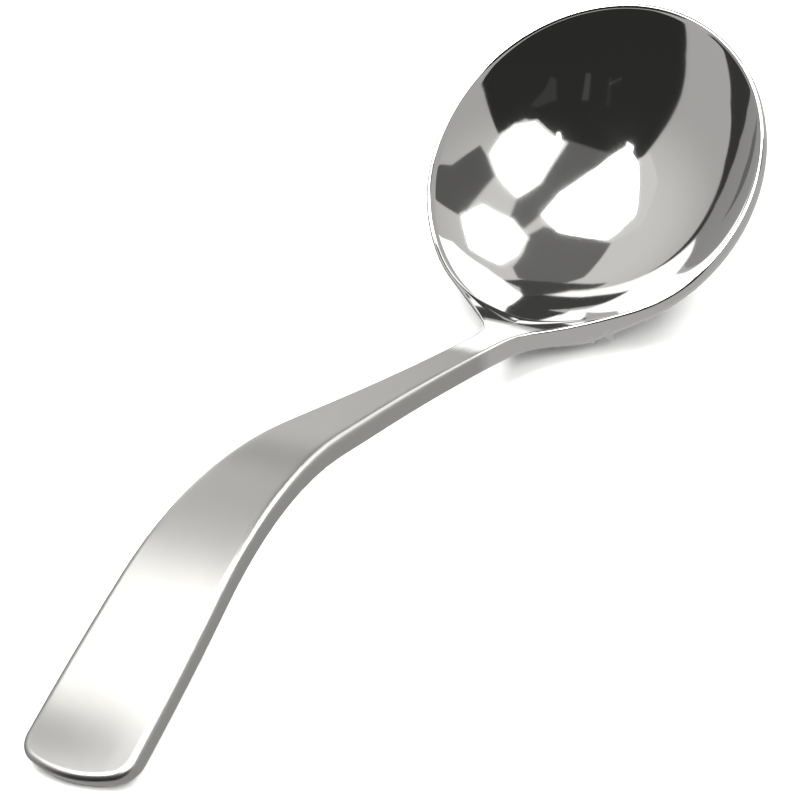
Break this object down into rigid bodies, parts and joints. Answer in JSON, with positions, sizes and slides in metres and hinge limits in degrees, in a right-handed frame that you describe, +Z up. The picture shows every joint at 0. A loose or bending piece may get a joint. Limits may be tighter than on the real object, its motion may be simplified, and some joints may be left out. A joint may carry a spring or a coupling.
{
  "type": "sugar ladle",
  "caption": "Small round-bowled serving ladle with a slender neck and a flat handle that rises from the rim, bends over and widens to a rounded end.",
  "frame": {"origin": "on the table under the middle of the ladle's length, as it lies at rest", "axes": "+Z up from the table, +X from the bowl towards the handle's end, +Y to the left of the handle seen from the bowl's side; the ladle lies on the bowl's bottom and the end's lower edge"},
  "size_m": [0.153, 0.0492, 0.0332],
  "materials": {
    "steel": "mirror-polished bowl and neck, satin handle"
  },
  "bodies": {
    "root": {"sugar_ladle": "steel"}
  },
  "joints": []
}
